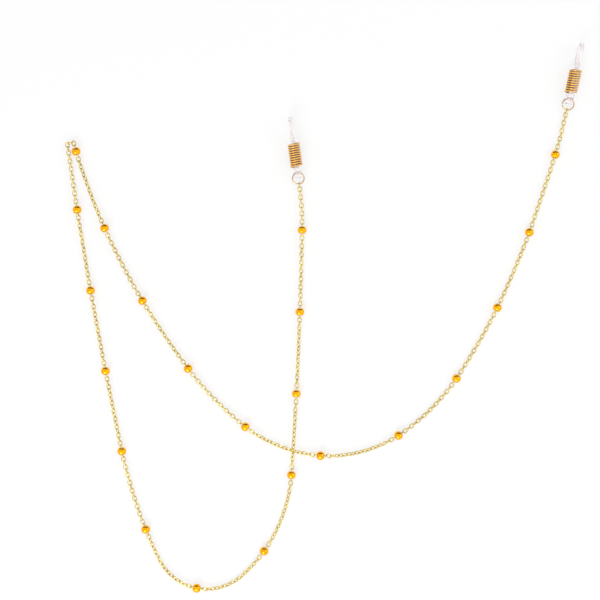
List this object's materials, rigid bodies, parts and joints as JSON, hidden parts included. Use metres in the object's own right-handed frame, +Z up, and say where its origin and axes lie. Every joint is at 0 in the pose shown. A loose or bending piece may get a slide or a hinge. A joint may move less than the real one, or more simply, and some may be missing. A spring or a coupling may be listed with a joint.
{
  "type": "eyeglasses chain strap",
  "caption": "Fine gold neck chain with hollow gold balls; at each end a jump ring and a clear rubber loop with a sliding coil spring that grips an eyewear arm.",
  "frame": {"origin": "on the surface the strap lies on, under the middle of its outline", "axes": "+Z up from the surface; +Y along the longer side of the outline, towards the two loops; +X to the right of the picture"},
  "size_m": [0.1921, 0.2035, 0.0072],
  "materials": {
    "chain_gold": "bright gold plate",
    "ball_gold": "polished deep gold plate",
    "ring_gold": "bright gold plate",
    "spring_gold": "bright gold plate",
    "clear_rubber": "clear, soft sheen"
  },
  "bodies": {
    "stretch_01": {"chain_01": "chain_gold", "ball_01": "ball_gold"},
    "stretch_02": {"chain_02": "chain_gold", "ball_02": "ball_gold"},
    "stretch_03": {"chain_03": "chain_gold", "ball_03": "ball_gold"},
    "stretch_04": {"chain_04": "chain_gold", "ball_04": "ball_gold"},
    "stretch_05": {"chain_05": "chain_gold", "ball_05": "ball_gold"},
    "stretch_06": {"chain_06": "chain_gold", "ball_06": "ball_gold"},
    "stretch_07": {"chain_07": "chain_gold", "ball_07": "ball_gold"},
    "stretch_08": {"chain_08": "chain_gold", "ball_08": "ball_gold"},
    "stretch_09": {"chain_09": "chain_gold", "ball_09": "ball_gold"},
    "stretch_10": {"chain_10": "chain_gold", "ball_10": "ball_gold"},
    "stretch_11": {"chain_11": "chain_gold", "ball_11": "ball_gold"},
    "stretch_12": {"chain_12": "chain_gold", "ball_12": "ball_gold"},
    "stretch_13": {"chain_13": "chain_gold", "ball_13": "ball_gold"},
    "stretch_14": {"chain_14": "chain_gold", "ball_14": "ball_gold"},
    "stretch_15": {"chain_15": "chain_gold", "ball_15": "ball_gold"},
    "stretch_16": {"chain_16": "chain_gold", "ball_16": "ball_gold"},
    "stretch_17": {"chain_17": "chain_gold", "ball_17": "ball_gold"},
    "stretch_18": {"chain_18": "chain_gold", "ball_18": "ball_gold"},
    "stretch_19": {"chain_19": "chain_gold", "ball_19": "ball_gold"},
    "stretch_20": {"chain_20": "chain_gold", "ball_20": "ball_gold"},
    "stretch_21": {"chain_21": "chain_gold", "ball_21": "ball_gold"},
    "stretch_22": {"chain_22": "chain_gold", "ball_22": "ball_gold"},
    "stretch_23": {"chain_23": "chain_gold"},
    "left_ring": {"left_jump_ring": "ring_gold"},
    "left_loop": {"left_grip_loop": "clear_rubber"},
    "left_spring": {"left_grip_spring": "spring_gold"},
    "right_ring": {"right_jump_ring": "ring_gold"},
    "right_loop": {"right_grip_loop": "clear_rubber"},
    "right_spring": {"right_grip_spring": "spring_gold"}
  },
  "joints": [
    {"name": "ball_01_hinge", "type": "hinge", "parent": "stretch_02", "child": "stretch_01", "pos_m": [-0.00817, 0.03113, 0.00165], "axis": [0.9998, -0.0183, 0], "range_deg": [-75, 75]},
    {"name": "ball_02_hinge", "type": "hinge", "parent": "stretch_03", "child": "stretch_02", "pos_m": [-0.009, 0.00076, 0.00165], "axis": [-0.9994, 0.0358, 0], "range_deg": [-75, 75]},
    {"name": "ball_03_hinge", "type": "hinge", "parent": "stretch_04", "child": "stretch_03", "pos_m": [-0.01036, -0.02959, 0.00165], "axis": [0.9986, -0.0532, 0], "range_deg": [-75, 75]},
    {"name": "ball_04_hinge", "type": "hinge", "parent": "stretch_05", "child": "stretch_04", "pos_m": [-0.01227, -0.05974, 0.00165], "axis": [-0.9953, 0.0971, 0], "range_deg": [-75, 0]},
    {"name": "ball_05_hinge", "type": "hinge", "parent": "stretch_06", "child": "stretch_05", "pos_m": [-0.02334, -0.08762, 0.00165], "axis": [0.7986, -0.6018, 0], "range_deg": [0, 75]},
    {"name": "ball_06_hinge", "type": "hinge", "parent": "stretch_07", "child": "stretch_06", "pos_m": [-0.04905, -0.09941, 0.00165], "axis": [0.2658, 0.964, 0], "range_deg": [-75, 0]},
    {"name": "ball_07_hinge", "type": "hinge", "parent": "stretch_08", "child": "stretch_07", "pos_m": [-0.06683, -0.07633, 0.00165], "axis": [0.9304, 0.3665, 0], "range_deg": [0, 75]},
    {"name": "ball_08_hinge", "type": "hinge", "parent": "stretch_09", "child": "stretch_08", "pos_m": [-0.0754, -0.04722, 0.00165], "axis": [0.9783, 0.2071, 0], "range_deg": [-75, 0]},
    {"name": "ball_09_hinge", "type": "hinge", "parent": "stretch_10", "child": "stretch_09", "pos_m": [-0.08142, -0.01745, 0.00165], "axis": [-0.9818, -0.19, 0], "range_deg": [0, 75]},
    {"name": "ball_10_hinge", "type": "hinge", "parent": "stretch_11", "child": "stretch_10", "pos_m": [-0.08693, 0.01243, 0.00165], "axis": [0.985, 0.1727, 0], "range_deg": [-75, 0]},
    {"name": "ball_11_hinge", "type": "hinge", "parent": "stretch_12", "child": "stretch_11", "pos_m": [-0.09188, 0.0424, 0.00165], "axis": [-0.9881, -0.1536, 0], "range_deg": [0, 75]},
    {"name": "ball_12_hinge", "type": "hinge", "parent": "stretch_13", "child": "stretch_12", "pos_m": [-0.09142, 0.06039, 0.00165], "axis": [0.9558, 0.2939, 0], "range_deg": [-75, 0]},
    {"name": "ball_13_hinge", "type": "hinge", "parent": "stretch_14", "child": "stretch_13", "pos_m": [-0.08063, 0.03201, 0.00165], "axis": [-0.911, -0.4123, 0], "range_deg": [0, 75]},
    {"name": "ball_14_hinge", "type": "hinge", "parent": "stretch_15", "child": "stretch_14", "pos_m": [-0.06641, 0.00518, 0.00165], "axis": [0.8545, 0.5195, 0], "range_deg": [-75, 0]},
    {"name": "ball_15_hinge", "type": "hinge", "parent": "stretch_16", "child": "stretch_15", "pos_m": [-0.04926, -0.01988, 0.00165], "axis": [-0.7907, -0.6122, 0], "range_deg": [0, 75]},
    {"name": "ball_16_hinge", "type": "hinge", "parent": "stretch_17", "child": "stretch_16", "pos_m": [-0.02767, -0.04112, 0.00165], "axis": [0.592, 0.8059, 0], "range_deg": [-75, 0]},
    {"name": "ball_17_hinge", "type": "hinge", "parent": "stretch_18", "child": "stretch_17", "pos_m": [0.00058, -0.05079, 0.00165], "axis": [0.0375, 0.9993, 0], "range_deg": [-75, 75]},
    {"name": "ball_18_hinge", "type": "hinge", "parent": "stretch_18", "child": "stretch_19", "pos_m": [0.02917, -0.04218, 0.00165], "axis": [-0.5614, 0.8276, 0], "range_deg": [-75, 75]},
    {"name": "ball_19_hinge", "type": "hinge", "parent": "stretch_19", "child": "stretch_20", "pos_m": [0.05018, -0.02052, 0.00165], "axis": [0.8329, -0.5534, 0], "range_deg": [-75, 75]},
    {"name": "ball_20_hinge", "type": "hinge", "parent": "stretch_20", "child": "stretch_21", "pos_m": [0.06513, 0.0059, 0.00165], "axis": [-0.9011, 0.4337, 0], "range_deg": [-75, 75]},
    {"name": "ball_21_hinge", "type": "hinge", "parent": "stretch_21", "child": "stretch_22", "pos_m": [0.07682, 0.03392, 0.00165], "axis": [0.9406, -0.3396, 0], "range_deg": [-75, 75]},
    {"name": "ball_22_hinge", "type": "hinge", "parent": "stretch_22", "child": "stretch_23", "pos_m": [0.08636, 0.06276, 0.00165], "axis": [-0.9586, 0.2848, 0], "range_deg": [-75, 75]},
    {"name": "left_ring_swivel", "type": "hinge", "parent": "stretch_01", "child": "left_ring", "pos_m": [-0.00952, 0.05221, 0.00176], "axis": [0.0295, -0.2098, 0.9773], "range_deg": [-90, 90]},
    {"name": "left_loop_tilt", "type": "hinge", "parent": "left_ring", "child": "left_loop", "pos_m": [-0.00979, 0.05411, 0.00217], "axis": [-0.9903, -0.1392, 0], "range_deg": [-65, 65]},
    {"name": "left_spring_slide", "type": "slide", "parent": "left_loop", "child": "left_spring", "axis": [-0.1387, 0.9869, 0.0828], "range_m": [0, 0.0012]},
    {"name": "right_ring_swivel", "type": "hinge", "parent": "stretch_23", "child": "right_ring", "pos_m": [0.09054, 0.07966, 0.00176], "axis": [-0.0441, -0.2072, 0.9773], "range_deg": [-90, 90]},
    {"name": "right_loop_tilt", "type": "hinge", "parent": "right_ring", "child": "right_loop", "pos_m": [0.09093, 0.08154, 0.00217], "axis": [-0.9781, 0.2079, 0], "range_deg": [-65, 65]},
    {"name": "right_spring_slide", "type": "slide", "parent": "right_loop", "child": "right_spring", "axis": [0.2072, 0.9748, 0.0828], "range_m": [0, 0.0012]}
  ]
}
